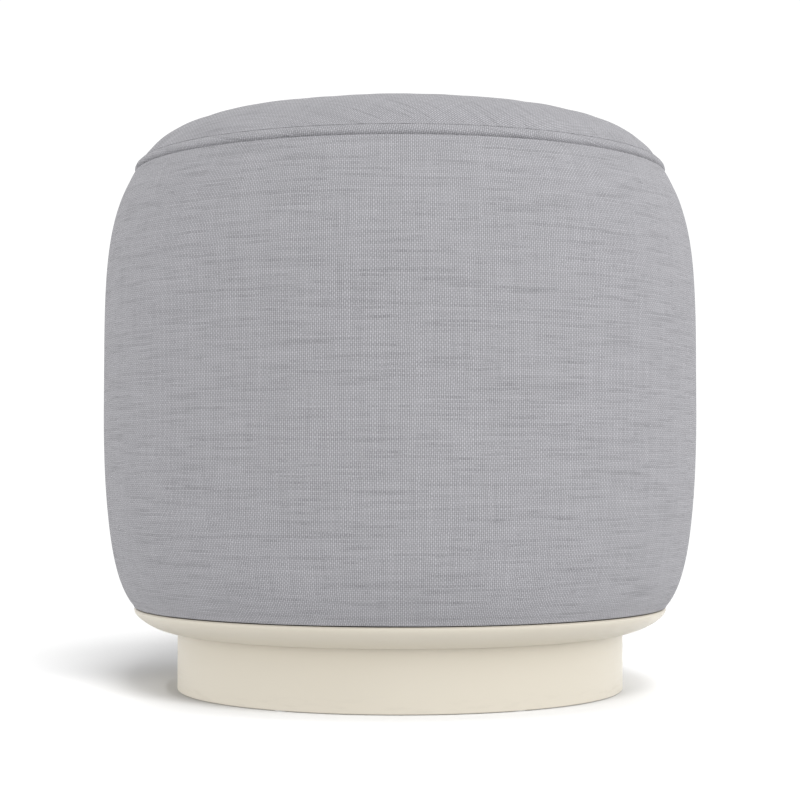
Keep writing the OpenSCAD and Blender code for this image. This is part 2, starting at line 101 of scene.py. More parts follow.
def side_radius(z):
    """Radius of the side at height z: a superellipse above the belly and a fuller one below it."""
    up = np.clip((z - belly_z) / side_upper_h, 0, 1)
    down = np.clip((belly_z - z) / side_lower_h, 0, 1)
    above = (1 - up**side_upper_power) ** (1 / side_upper_power)
    below = (1 - down**side_lower_power) ** (1 / side_lower_root)
    return belly_r * above * below


def top_height(r):
    """Height of the top panel at radius r."""
    share = np.clip(r / top_edge_r, 0, 1)
    shoulder = (1 - share**shoulder_power) ** (1 / shoulder_root)
    return top_edge_z + shoulder_h * shoulder + crown_h * (1 - share**2)


# ---- Meshes ------------------------------------------------------------------------------------


def arc(centre, radius, start, end, steps):
    """Points on an arc in the (radius, height) plane; angles in degrees."""
    a = np.radians(np.linspace(start, end, steps))
    return np.stack([centre[0] + radius * np.cos(a), centre[1] + radius * np.sin(a)], axis=1)


def round_angles(count, near=(), at=BACK, r=belly_r):
    """Angles once round from the back; near adds columns at those distances from it, in metres."""
    angles = list(np.arange(count) / count * TURN)
    for distance in near:
        angles += [distance / r, TURN - distance / r]
    return at + np.unique(np.round(angles, 9))


def along(points):
    """Length along a line of points, at each point."""
    steps = np.linalg.norm(np.diff(points, axis=0), axis=1)
    return np.concatenate([[0], np.cumsum(steps)])


def outward(profile):
    """Unit normals of a profile that is drawn with its outside on its right."""
    ahead = np.gradient(profile, axis=0)
    ahead /= np.maximum(np.linalg.norm(ahead, axis=1, keepdims=True), 1e-12)
    return np.stack([ahead[:, 1], -ahead[:, 0]], axis=1)


def revolved(name, profile, angles, uv, offset=None, closed=True):
    """A solid of revolution from a (radius, height) profile. uv(angle, row) gives metres of cloth.
    offset[column, row] moves a point along the profile's normal. Rows on the axis become one point."""
    columns, rows = len(angles), len(profile)
    normal = outward(profile)
    moved = np.zeros((columns, rows)) if offset is None else offset
    radius = profile[:, 0] + moved * normal[:, 0]
    height = profile[:, 1] + moved * normal[:, 1]
    co = np.stack([
        radius * np.cos(angles)[:, None],
        radius * np.sin(angles)[:, None],
        height,
    ], axis=2)
    on_axis = profile[:, 0] < 1e-6
    index = np.arange(columns * rows).reshape(columns, rows)
    index[:, on_axis] = index[0, on_axis]
    faces, loops = [], []
    unrolled = np.append(angles, angles[0] + TURN)
    table = np.array([[uv(a, k) for k in range(rows)] for a in unrolled])
    last_row = rows if closed else rows - 1
    for c in range(columns):
        d = (c + 1) % columns
        for k in range(last_row):
            m = (k + 1) % rows
            if on_axis[k] and on_axis[m]:
                continue
            corners = [(c, k, c), (d, k, c + 1), (d, m, c + 1), (c, m, c)]
            if on_axis[k]:
                corners = [corners[0], corners[2], corners[3]]
            elif on_axis[m]:
                corners = corners[:3]
            faces.append([index[i, j] for i, j, _ in corners])
            loops += [table[t, j] for _, j, t in corners]
    return mesh_object(name, co.reshape(-1, 3), faces, loops)


def mesh_object(name, points, faces, loops):
    """A smooth mesh object with a UV map in metres, without unused points."""
    used = np.unique(np.concatenate([np.array(f) for f in faces]))
    renumber = np.full(len(points), -1)
    renumber[used] = np.arange(len(used))
    mesh = bpy.data.meshes.new(name)
    mesh.from_pydata(points[used].tolist(), [], [[int(renumber[i]) for i in f] for f in faces])
    layer = mesh.uv_layers.new(name="cloth")
    layer.data.foreach_set("uv", np.array(loops, np.float32).ravel())
    mesh.polygons.foreach_set("use_smooth", np.ones(len(mesh.polygons), bool))
    mesh.update()
    piece = bpy.data.objects.new(name, mesh)
    bpy.context.scene.collection.objects.link(piece)
    return piece


def waves(angles, heights, low, high, count, size, seed):
    """Smooth seeded unevenness over columns and rows, about size high: a sum of waves round the piece."""
    dice = np.random.RandomState(seed)
    total = np.zeros((len(angles), len(heights)))
    for _ in range(count):
        turns = dice.randint(low, high)
        climb = dice.uniform(-18, 18)
        phase = dice.uniform(0, TURN)
        weight = dice.uniform(0.4, 1)
        total += weight * np.sin(turns * angles[:, None] + climb * heights[None, :] + phase)
    return size * total / math.sqrt(count)


def fade(distance, reach):
    """1 at no distance, falling smoothly to nothing."""
    return np.exp(-(distance / reach) ** 2)


def swell(profile, held, cap, seed):
    """The unevenness of a stretched cover, as a function of angles and shares of its profile.

    A coarse cover over slightly lumpy stuffing is held at held(column, row) and blown up as cloth. What it
    moves all round alike is taken off again, so the outline stays as it is, and no point moves past cap."""
    columns, rows, frames = 6 * hem_staples, len(profile), 20
    angles = BACK + np.arange(columns) / columns * TURN
    normal = outward(profile)
    lumps = waves(angles, profile[:, 0] + profile[:, 1], 2, 14, 14, 0.4 * MM, seed)
    points = np.stack([
        (profile[:, 0] + lumps * normal[:, 0]) * np.cos(angles)[:, None],
        (profile[:, 0] + lumps * normal[:, 0]) * np.sin(angles)[:, None],
        profile[:, 1] + lumps * normal[:, 1],
    ], axis=2)
    out = lumps
    index = np.arange(columns * rows).reshape(columns, rows)
    faces = [[int(index[c, k]), int(index[(c + 1) % columns, k]),
              int(index[(c + 1) % columns, k + 1]), int(index[c, k + 1])]
             for c in range(columns) for k in range(rows - 1)]
    mesh = bpy.data.meshes.new("swelling")
    mesh.from_pydata(points.reshape(-1, 3).tolist(), [], faces)
    cover = bpy.data.objects.new("swelling", mesh)
    scene = bpy.context.scene
    scene.collection.objects.link(cover)
    pins = [int(index[c, k]) for c in range(columns) for k in range(rows) if held(c, k)]
    cover.vertex_groups.new(name="held").add(pins, 1, "REPLACE")
    modifier = cover.modifiers.new("stuffing", "CLOTH")
    modifier.point_cache.frame_start, modifier.point_cache.frame_end = 1, frames
    modifier.collision_settings.use_collision = False
    cloth = modifier.settings
    cloth.quality = 6
    cloth.mass = 0.05
    cloth.use_pressure = True
    cloth.uniform_pressure_force = 4
    cloth.vertex_group_mass = "held"
    cloth.effector_weights.gravity = 0
    for number in range(1, frames + 1):
        scene.frame_set(number)
    pressed = cover.evaluated_get(bpy.context.evaluated_depsgraph_get())
    moved = np.array([v.co for v in pressed.data.vertices]).reshape(columns, rows, 3)
    bpy.data.objects.remove(cover)
    bpy.data.meshes.remove(mesh)
    scene.frame_set(1)
    radius = np.hypot(moved[:, :, 0], moved[:, :, 1])
    out = (radius - profile[:, 0]) * normal[:, 0] + (moved[:, :, 2] - profile[:, 1]) * normal[:, 1]
    out = cap * np.tanh((out - out.mean(axis=0)) / cap)
    turns, climbs = np.arange(48), np.arange(12)

    def round_waves(a):
        return np.hstack([np.cos(np.outer(a, turns)), np.sin(np.outer(a, turns[1:]))])

    def row_waves(share):
        return np.cos(np.outer(np.clip(share, 0, 1), climbs) * math.pi)

    parts = np.linalg.pinv(round_waves(angles)) @ out @ np.linalg.pinv(row_waves(np.linspace(0, 1, rows))).T
    return lambda a, share: round_waves(a) @ parts @ row_waves(share).T


# ---- Cloth pieces ------------------------------------------------------------------------------


def side_cover():
    """The side strip: hem turned under, the barrel side, and the top tucked under the welt."""
    roll = 1.5 * MM
    shoulder = 0.9 * MM
    drop = 2.5 * MM + shoulder
    puff = 0.9 * MM
    hem_top = hem_z + cloth_t
    top_z = welt_z - drop
    rise = np.linspace(0, 1, 96)
    foot_z = hem_z + hem_gap + roll
    heights = foot_z + (top_z - 0.5 * MM - foot_z) * rise
    side = np.stack([side_radius(heights), heights], axis=1)
    shoulder_at = (side_radius(top_z) - shoulder, top_z)
    side = np.concatenate([side, arc(shoulder_at, shoulder, 8, 135, 7)])
    start_r = side_radius(foot_z)
    under_r = np.linspace(hem_inner_r, start_r - roll - 0.5 * MM, 14)
    lift = hem_gap * np.clip((under_r - start_r + 10 * MM) / (6 * MM), 0, 1) ** 1.5
    under = np.stack([under_r, hem_z + lift], axis=1)
    corner = arc((start_r - roll, foot_z), roll, -90, 0, 7)[:-1]
    lip = arc((welt_ring_r, welt_z), wrap_r, -66, -173, 18)
    turn_in = np.array([[seam_r, welt_z - cloth_t / 2], [allowance_r, welt_z - cloth_t / 2]])
    inner_flat = np.array([[allowance_r, welt_z - 1.5 * cloth_t]])
    inner_lip = arc((welt_ring_r, welt_z), wrap_r + cloth_t, -160, -90, 9)
    inner_h = np.linspace(welt_z - wrap_r - cloth_t - 0.3 * MM, foot_z + cloth_t, 40)
    inner = np.stack([side_radius(inner_h) - cloth_t, inner_h], axis=1)
    inner_hem = np.stack([under_r[::-1] - cloth_t / 2, (hem_top + lift)[::-1]], axis=1)
    inner_hem[-1, 0] = hem_inner_r
    profile = np.concatenate([under, corner, side, lip, turn_in, inner_flat, inner_lip, inner, inner_hem])
    angles = round_angles(440, near=[d * MM for d in (0.4, 0.8, 1.2, 1.7, 2.4, 3.4, 4.6)])
    first, last = len(under), len(under) + len(corner) + len(side)
    outer = np.zeros(len(profile))
    outer[first:last] = 1
    z = profile[:, 1]
    from_back = np.minimum(angles - BACK, TURN - (angles - BACK)) * belly_r
    coarse_h = np.linspace(foot_z, top_z, 36)
    coarse = np.stack([side_radius(coarse_h), coarse_h], axis=1)
    last_row = len(coarse) - 1
    pressed = swell(coarse, lambda c, k: k == last_row or (k == 0 and c % 6 == 0), 0.5 * MM, SEED)
    offset = pressed(angles, (z - foot_z) / (top_z - foot_z))
    offset += waves(angles, z, 46, 90, 14, 0.14 * MM, SEED + 1) * fade(z - top_z, 9 * MM)
    offset += -1.3 * MM * fade(from_back, 0.9 * MM)[:, None] * np.ones(len(z))
    offset += 0.35 * MM * fade(from_back - 4.5 * MM, 3 * MM)[:, None] * np.ones(len(z))
    offset *= outer * np.clip((z - hem_z) / (2 * MM), 0, 1) * np.clip((top_z + 1 * MM - z) / (3 * MM), 0, 1)
    profile[:, 0] += puff * fade(z - top_z, 5 * MM) * outer
    length = along(profile)
    return revolved(
        "side_cover_cloth", profile, angles,
        lambda a, k: ((a - BACK) * belly_r, length[k]),
        offset,
    ), TURN * belly_r, length[len(under) + len(corner) + len(side) + len(lip) + 1]


def top_cover():
    """The round top panel: the crown, its upright edge, and the edge tucked behind the welt."""
    share = np.linspace(0, 1, 64)
    r = top_edge_r * np.sin(share * math.pi / 2)
    crown = np.stack([r, top_height(r)], axis=1)
    crown = crown[:-1]
    rest_angle = math.radians(72)
    rest = wrap_r + 0.4 * MM
    end = np.array([welt_ring_r + rest * math.cos(rest_angle), welt_z + rest * math.sin(rest_angle)])
    bend = end - 2.3 * MM * np.array([math.sin(rest_angle), -math.cos(rest_angle)])
    t = np.linspace(0, 1, 10)[1:, None]
    upright = (1 - t) ** 2 * crown[-1] + 2 * t * (1 - t) * bend + t**2 * end
    lip = arc((welt_ring_r, welt_z), wrap_r, 72, 173, 15)
    turn_in = np.array([[seam_r, welt_z + cloth_t / 2], [allowance_r, welt_z + cloth_t / 2]])
    inner_flat = np.array([[allowance_r, welt_z + 1.5 * cloth_t]])
    inner_lip = arc((welt_ring_r, welt_z), wrap_r + cloth_t, 162, 112, 8)
    inner_r = (top_edge_r - cloth_t) * np.sin(np.linspace(1, 0, 34) * math.pi / 2)
    inner = np.stack([inner_r, top_height(inner_r * top_edge_r / (top_edge_r - cloth_t)) - cloth_t], axis=1)
    profile = np.concatenate([crown, upright, lip, turn_in, inner_flat, inner_lip, inner])[::-1]
    angles = round_angles(420)
    z = profile[:, 1]
    outer = np.zeros(len(profile))
    outer[-len(crown):] = 1
    inner_share = 0.2
    coarse_r = top_edge_r * np.sin(np.linspace(1, inner_share, 24) * math.pi / 2)
    coarse = np.stack([coarse_r, top_height(coarse_r)], axis=1)
    pressed = swell(coarse, lambda c, k: k == 0, 0.25 * MM, SEED + 2)
    out_share = np.arcsin(np.clip(profile[:, 0] / top_edge_r, 0, 1)) * 2 / math.pi
    offset = pressed(angles, (1 - out_share) / (1 - inner_share))
    offset += waves(angles, z, 40, 84, 14, 0.12 * MM, SEED + 3) * fade(z - top_edge_z, 9 * MM)
    offset *= outer * np.clip(profile[:, 0] / (60 * MM), 0, 1) * np.clip((z - top_edge_z) / (2 * MM), 0, 1)
    length = along(profile[::-1])[::-1]
    bias = math.radians(38)
    flat_r = length[len(inner) + len(inner_lip)]
    return revolved(
        "top_cover_cloth", profile, angles,
        lambda a, k: (length[k] * math.cos(a + bias), length[k] * math.sin(a + bias)),
        offset, closed=False,
    ), flat_r


def welt_cover():
    """The bias strip folded round the cord, its two edges in the seam and its ends joined at the back."""
    middle = (welt_ring_r, welt_z)
    circle = arc(middle, welt_r, -172, 172, 44)
    fold = arc(middle, welt_r - cloth_t, 179, -179, 30)
    slit = 0.05 * MM
    edges = [[allowance_r, welt_z + h] for h in (cloth_t / 2, slit, -slit, -cloth_t / 2)]
    profile = np.concatenate([circle, edges[:2], fold, edges[2:]])
    angles = round_angles(560, near=[d * MM for d in (0.5, 1, 1.6, 3.2, 5, 6)], r=welt_ring_r)
    offset = waves(angles, np.zeros(len(profile)), 20, 90, 16, 0.05 * MM, SEED + 4)
    from_back = ((angles - BACK + math.pi) % TURN - math.pi) * welt_ring_r
    slanted = from_back[:, None] - 0.6 * (profile[:, 1] - welt_z)
    offset += 0.3 * MM * fade(slanted, 6 * MM) - 0.45 * MM * fade(slanted, 0.8 * MM)
    under = np.degrees(np.arctan2(circle[:, 1] - welt_z, circle[:, 0] - welt_ring_r))
    pulled = np.clip((6 - under) / 28, 0, 1) * np.clip((under + 150) / 40, 0, 1)
    offset[:, :len(circle)] -= 1.0 * MM * pulled
    offset[:, len(circle):] = 0
    length = along(profile)
    slant = math.radians(12)

    def uv(a, k):
        u, v = (a - BACK) * welt_ring_r, length[k]
        return u * math.cos(slant) - v * math.sin(slant), u * math.sin(slant) + v * math.cos(slant)

    strip_w = length[len(circle)] + seam_r - allowance_r
    return revolved("welt_piping", profile, angles, uv, offset), strip_w


def dust_cover():
    """The thin sheet stapled under the frame, slack between its staples, with a hole for each bolt."""
    edge_r = dust_high.x
    middle_z = (dust_high.z + dust_low.z) / 2
    half = (dust_high.z - dust_low.z) / 2 - 0.05 * MM
    bolt_r, bolt_count, hole_r = 145 * MM, 4, 4.4 * MM
    points, edges = [], []

    def ring(x, y, r, count):
        first = len(points)
        for i in range(count):
            a = TURN * i / count
            points.append(Vector((x + r * math.cos(a), y + r * math.sin(a))))
            edges.append((first + i, first + (i + 1) % count))

    ring(0, 0, edge_r, 180)
    holes = [(bolt_r * math.cos(TURN * i / bolt_count), bolt_r * math.sin(TURN * i / bolt_count))
             for i in range(bolt_count)]
    for x, y in holes:
        ring(x, y, hole_r, 20)
    step = 7 * MM
    side_steps = int(edge_r / step) + 1
    for i in range(-side_steps, side_steps + 1):
        for j in range(-side_steps, side_steps + 1):
            x, y = (i + 0.5 * (j % 2)) * step, j * step * 0.866
            clear = min(math.hypot(x - hx, y - hy) for hx, hy in holes)
            if math.hypot(x, y) < edge_r - 0.5 * step and clear > hole_r + 0.4 * step:
                points.append(Vector((x, y)))
    flat, _, faces, *_ = delaunay_2d_cdt(points, edges, [], 1, 1e-6)
    flat = np.array([[p.x, p.y] for p in flat])
    faces = [f for f in faces
             if all(math.hypot(*(flat[f].mean(axis=0) - hole)) > hole_r * 0.98 for hole in holes)]
    r = np.hypot(flat[:, 0], flat[:, 1])
    a = np.arctan2(flat[:, 1], flat[:, 0])
    slack = 0.16 * MM * np.sin(18 * a) * (r / edge_r) ** 4
    slack += 0.1 * MM * np.sin(flat[:, 0] * 55 + 1) * np.cos(flat[:, 1] * 48 + 2)
    slack -= 0.2 * MM
    count = len(flat)
    under = np.column_stack([flat, middle_z - half + slack])
    over = np.column_stack([flat, middle_z + half + slack])
    shell = [list(f)[::-1] for f in faces] + [[i + count for i in f] for f in faces]
    used = {}
    for f in faces:
        for i, j in zip(f, list(f[1:]) + [f[0]]):
            used[(i, j)] = True
    for i, j in used:
        if (j, i) not in used:
            shell.append([i, j, j + count, i + count])
    points3 = np.concatenate([under, over])
    loops = [points3[i][:2] for f in shell for i in f]
    return mesh_object("dust_sheet", points3, shell, loops), edge_r


# ---- Padding -----------------------------------------------------------------------------------


def side_layer(inset, low_z, high_z, steps=60):
    """A line up the side, set in from the cover's outside."""
    heights = np.linspace(low_z, high_z, steps)
    return np.stack([side_radius(heights) - inset, heights], axis=1)


def top_layer(inset, edge_z, steps=60):
    """A line from the middle over the top, set in from the cover's outside, down to edge_z."""
    r = top_edge_r * np.sin(np.linspace(0, math.pi / 2, steps))
    line = np.stack([r * (1 - inset / top_edge_r), top_height(r) - inset], axis=1)
    kept = line[line[:, 1] > edge_z]
    return np.concatenate([kept, [[kept[-1, 0], edge_z]]])


def softened(profile, reach, closed=True):
    """Rounds the corners of a profile: short steps, then a moving average along it."""
    line = np.concatenate([profile, profile[:1]]) if closed else profile
    length = along(line)
    count = int(length[-1] / (1.2 * MM))
    at = np.linspace(0, length[-1], count)
    fine = np.stack([np.interp(at, length, line[:, i]) for i in (0, 1)], axis=1)
    if closed:
        fine = fine[:-1]
    width = max(1, int(reach / (1.2 * MM)))
    total = np.zeros_like(fine)
    for k in range(-width, width + 1):
        other = np.arange(len(fine)) + k
        total += fine[other % len(fine) if closed else np.clip(other, 0, len(fine) - 1)]
    smooth = total / (2 * width + 1)
    if not closed:
        smooth[0], smooth[-1] = fine[0], fine[-1]
    return smooth


def pad(name, profile, seed, rough, closed=True, columns=220):
    """A ring or round block of padding with an uneven cut face, never larger than its profile."""
    angles = round_angles(columns)
    heights = profile[:, 1] * 3 + profile[:, 0] * 5
    uneven = waves(angles, heights, 2, 40, 24, 1.0, seed)
    offset = -rough * (0.5 + 0.5 * np.tanh(uneven))
    if not closed:
        offset *= np.clip(profile[:, 0] / (30 * MM), 0, 1)
    from_back = np.minimum(angles - BACK, TURN - (angles - BACK)) * drum_r
    offset = offset - 2.5 * rough * fade(from_back, 1.5 * MM)[:, None] * closed
    length = along(profile)
    return revolved(
        name, profile, angles, lambda a, k: ((a - BACK) * belly_r, length[k]), offset, closed
    )


def padding():
    """The foam and the batting on it, each in the space that the frame leaves for it."""
    pad_top_z = welt_z - wrap_r - cloth_t - 2 * air
    lip_r = seam_r - 2.6 * MM
    lip_z = welt_z - allowance_half - 2 * air
    side_block = np.concatenate([
        [[allowance_r + air, board_top_z + air], [drum_r + 2 * air, board_top_z + air],
         [drum_r + 2 * air, frame_bottom_z + air]],
        side_layer(pad_inset + air, frame_bottom_z + air, pad_top_z),
        [[lip_r, pad_top_z], [lip_r, lip_z], [allowance_r + air, lip_z]],
    ])
    side_wrap = np.concatenate([
        side_layer(cloth_t + air, frame_bottom_z + cloth_t, pad_top_z),
        side_layer(pad_inset - air, frame_bottom_z + cloth_t, pad_top_z)[::-1],
    ])
    seat_low = seat_foam_low.z + air
    tier_r = allowance_r - 0.5 * MM
    seat_edge_z = welt_z + allowance_half + 3 * air
    seat_block = np.concatenate([
        top_layer(pad_inset + air, seat_edge_z), [[tier_r, seat_edge_z], [tier_r, seat_low], [0, seat_low]],
    ])[::-1]
    batting_z = top_edge_z - cloth_t + 3 * air
    seat_wrap = np.concatenate([
        top_layer(cloth_t + air, batting_z), top_layer(pad_inset - air, batting_z)[::-1],
    ])[::-1]
    return [
        (pad("side_foam_block", softened(side_block, 1.6 * MM), SEED + 5, 0.25 * MM),
         "side_foam", 0.9),
        (pad("side_batting_wrap", softened(side_wrap, 1.2 * MM), SEED + 6, 0.5 * MM),
         "side_batting", 0.6),
        (pad("seat_foam_block", softened(seat_block, 1.6 * MM, False), SEED + 7, 0.25 * MM, False),
         "seat_foam", 0.9),
        (pad("seat_batting_pad", softened(seat_wrap, 1.2 * MM, False), SEED + 8, 0.5 * MM, False),
         "seat_batting", 0.6),
    ]


def webbing(name, turned):
    """Four straps over the frame's ring, each over and under the four that it crosses."""
    strap_w, pitch, count = 50 * MM, 64 * MM, 4
    strap_t = (strap_high.z - strap_low.z) / 2
    half_t, edge = strap_t / 2, 0.35 * MM
    section = [(-1, 0, 0), (-1, edge, half_t), (-0.5, 0, half_t), (0, 0, half_t), (0.5, 0, half_t),
               (1, edge, half_t), (1, 0, 0), (1, edge, -half_t), (0.5, 0, -half_t), (0, 0, -half_t),
               (-0.5, 0, -half_t), (-1, edge, -half_t)]
    points, faces, loops = [], [], []
    for i in range(count):
        middle = (i - (count - 1) / 2) * pitch
        reach = math.sqrt(strap_ends_r**2 - (abs(middle) + strap_w / 2) ** 2)
        knots, levels = [-reach], [0.0]
        for k in range(count):
            crossing = (k - (count - 1) / 2) * pitch
            for side_of in (-1, 1):
                knots.append(crossing + side_of * (strap_w / 2 + 1 * MM))
                levels.append(strap_t if (i + k) % 2 == 0 else 0.0)
        knots.append(reach)
        levels.append(0.0)
        stations = np.linspace(-reach, reach, 150)
        level = np.interp(stations, knots, levels)
        first = len(points)
        for x, lift in zip(stations, level):
            for across, inset, rise in section:
                y = middle + across * (strap_w / 2 - inset)
                z = board_top_z + half_t + lift + rise
                points.append((-y, x, z) if turned else (x, y, z))
        n = len(section)
        for c in range(len(stations) - 1):
            for k in range(n):
                a, b = first + c * n + k, first + c * n + (k + 1) % n
                faces.append([a, a + n, b + n, b])
                for s_at, k_at in ((c, k), (c + 1, k), (c + 1, k + 1), (c, k + 1)):
                    across = section[k_at % n][0]
                    loops.append((across * strap_w / 2, stations[s_at]))
        last = first + (len(stations) - 1) * n
        for ring_first, order in ((first, 1), (last, -1)):
            cap = [ring_first + k for k in range(n)][::order]
            faces.append(cap)
            loops += [(0, 0)] * n
    return mesh_object(name, np.array(points), faces, loops)


# ---- Materials ---------------------------------------------------------------------------------


class Finish:
    """A Principled material whose sockets are fed by short node formulas."""

    def __init__(self, name, colour, roughness, **fixed):
        self.material = bpy.data.materials.new(name)
        self.material.use_nodes = True
        self.tree = self.material.node_tree
        self.shader = self.tree.nodes["Principled BSDF"]
        self.shader.inputs["Base Color"].default_value = (*colour, 1)
        self.shader.inputs["Roughness"].default_value = roughness
        for key, value in fixed.items():
            self.shader.inputs[key.replace("_", " ")].default_value = value

    def node(self, kind, **settings):
        made = self.tree.nodes.new("ShaderNode" + kind)
        for key, value in settings.items():
            setattr(made, key, value)
        return made

    def feed(self, socket, value):
        """Links a socket, or sets a number or colour."""
        if isinstance(value, bpy.types.NodeSocket):
            self.tree.links.new(value, socket)
        elif value is not None:
            socket.default_value = value

    def math(self, operation, a, b=None, c=None):
        made = self.node("Math", operation=operation)
        for socket, value in zip(made.inputs, (a, b, c)):
            self.feed(socket, value)
        return made.outputs[0]

    def span(self, value, low, high, to_low=0.0, to_high=1.0):
        """Maps low..high to to_low..to_high, and stops there."""
        made = self.node("MapRange", clamp=True)
        for name, number in (("Value", value), ("From Min", low), ("From Max", high),
                             ("To Min", to_low), ("To Max", to_high)):
            self.feed(made.inputs[name], number)
        return made.outputs[0]

    def place(self):
        """Where a point is in the row frame."""
        return self.node("TexCoord").outputs["Object"]

    def cloth_uv(self):
        return self.node("UVMap", uv_map="cloth").outputs[0]

    def parts(self, vector):
        made = self.node("SeparateXYZ")
        self.feed(made.inputs[0], vector)
        return made.outputs

    def vector(self, x, y, z=0.0):
        made = self.node("CombineXYZ")
        for socket, value in zip(made.inputs, (x, y, z)):
            self.feed(socket, value)
        return made.outputs[0]

    def stretched(self, vector, x, y, z):
        made = self.node("Mapping")
        self.feed(made.inputs["Vector"], vector)
        made.inputs["Scale"].default_value = (x, y, z)
        return made.outputs[0]

    def noise(self, vector, scale=1.0, detail=2.0, roughness=0.5):
        made = self.node("TexNoise")
        self.feed(made.inputs["Vector"], vector)
        made.inputs["Scale"].default_value = scale
        made.inputs["Detail"].default_value = detail
        made.inputs["Roughness"].default_value = roughness
        return made.outputs["Fac"]

    def mix(self, factor, a, b):
        made = self.node("Mix", data_type="RGBA")
        self.feed(made.inputs["Factor"], factor)
        for name, value in (("A", a), ("B", b)):
            socket = [s for s in made.inputs if s.name == name and s.type == "RGBA"][0]
            self.feed(socket, (*value, 1) if isinstance(value, tuple) else value)
        return [s for s in made.outputs if s.type == "RGBA"][0]

    def colour(self, value):
        self.feed(self.shader.inputs["Base Color"], value)

    def roughness(self, value):
        self.feed(self.shader.inputs["Roughness"], value)

    def bump(self, height, distance, strength=1.0):
        made = self.node("Bump")
        made.inputs["Strength"].default_value = strength
        made.inputs["Distance"].default_value = distance
        self.feed(made.inputs["Height"], height)
        self.feed(self.shader.inputs["Normal"], made.outputs[0])


def upholstery():
    """Coarse plain weave: light round warp ends over darker weft, slubs along the weft, a little fuzz, and
    painted shade that darkens each yarn's edges and the hollows of the weave.
    """
    f = Finish("upholstery_cloth", (0.4, 0.4, 0.42), 0.9, Sheen_Weight=0.12, Sheen_Roughness=0.45)
    f.shader.inputs["Specular IOR Level"].default_value = 0.25
    uv = f.cloth_uv()
    u, v = f.parts(uv)[0:2]
    drift = f.noise(uv, 60, 1)
    shake = f.noise(uv, 260, 1)
    x, y = [
        f.math("MULTIPLY_ADD", length, 1 / yarn_pitch,
               f.math("MULTIPLY_ADD", drift, way, f.math("MULTIPLY", shake, 0.5)))
        for length, way in ((u, 1.0), (v, -1.0))
    ]
    column, row = f.math("FLOOR", x), f.math("FLOOR", y)
    across_warp = f.math("SINE", f.math("MULTIPLY", f.math("FRACT", x), math.pi))
    across_weft = f.math("SINE", f.math("MULTIPLY", f.math("FRACT", y), math.pi))
    warp_wave = f.math("SINE", f.math("MULTIPLY", f.math("ADD", y, column), math.pi))
    weft_wave = f.math("SINE", f.math("MULTIPLY", f.math("ADD", x, row), math.pi))
    warp_up = f.math("MULTIPLY_ADD", warp_wave, 0.5, 0.5)
    weft_up = f.math("MULTIPLY_ADD", weft_wave, -0.5, 0.5)
    warp = f.math("MULTIPLY", across_warp, f.math("MULTIPLY_ADD", warp_up, 0.65, 0.35))
    weft = f.math("MULTIPLY", across_weft, f.math("MULTIPLY_ADD", weft_up, 0.65, 0.35))
    height = f.math("MAXIMUM", warp, weft)
    on_warp = f.span(f.math("SUBTRACT", warp, weft), -0.1, 0.1)
    warp_tone = f.noise(f.vector(f.math("MULTIPLY", column, 5.37), f.math("MULTIPLY", y, 0.03)), 1, 1)
    weft_tone = f.noise(f.vector(f.math("MULTIPLY", x, 0.03), f.math("MULTIPLY", row, 6.13)), 1, 1)
    slub = f.span(weft_tone, 0.30, 0.44, 1.0, 0.0)
    nep = f.noise(f.vector(f.math("MULTIPLY", x, 0.11), f.math("MULTIPLY", row, 9.71)), 1, 1)
    dash = f.span(nep, 0.28, 0.40, 1.0, 0.0)
    hair = f.noise(uv, 2600, 2, 0.7)
    cloud = f.noise(uv, 26, 2)
    tone = f.math("MULTIPLY_ADD", on_warp, f.math("MULTIPLY_ADD", warp_tone, 0.38, 0.04), 0.0)
    # Painted shade: across_warp, across_weft and height make each yarn lighter along its middle and darker
    # at its edges and where the weave dips.
    tone = f.math("MULTIPLY_ADD", across_warp, 0.25, tone)
    tone = f.math("MULTIPLY_ADD", across_weft, 0.20, tone)
    tone = f.math("MULTIPLY_ADD", weft_tone, 0.28, tone)
    tone = f.math("MULTIPLY_ADD", height, 0.30, tone)
    tone = f.math("MULTIPLY_ADD", slub, -0.06, tone)
    tone = f.math("MULTIPLY_ADD", dash, -0.09, tone)
    tone = f.math("MULTIPLY_ADD", hair, 0.3, tone)
    tone = f.math("MULTIPLY_ADD", cloud, 0.03, tone)
    f.colour(f.mix(f.span(tone, 0.235, 1.41), (0.132, 0.131, 0.140), (0.65, 0.644, 0.68)))
    f.roughness(f.span(height, 0.0, 1.0, 0.98, 0.84))
    f.bump(f.math("MULTIPLY_ADD", hair, 0.35, height), 0.35 * MM, 0.8)
    return f.material


def lacquer():
    """Cream satin lacquer: a faint orange peel, a soft change of tone, and rubbed patches low down."""
    f = Finish("cream_lacquer", (0.70, 0.66, 0.57), 0.42)
    place = f.place()
    z = f.parts(place)[2]
    cloud = f.noise(place, 9, 3)
    low = f.span(z, 4 * MM, 14 * MM, 1.0, 0.0)
    rubbed = f.math("MULTIPLY", low, f.span(f.noise(f.stretched(place, 60, 60, 260), 1, 3), 0.52, 0.66))
    even = f.mix(cloud, (0.77, 0.711, 0.596), (0.80, 0.745, 0.635))
    f.colour(f.mix(f.math("MULTIPLY", rubbed, 0.14), even, (0.60, 0.555, 0.47)))
    brushed = f.noise(f.stretched(place, 30, 30, 900), 1, 2)
    f.roughness(f.math("ADD", f.span(brushed, 0.3, 0.7, 0.36, 0.46), f.math("MULTIPLY", rubbed, 0.2)))
    f.bump(f.noise(place, 420, 2), 0.04 * MM, 0.5)
    return f.material


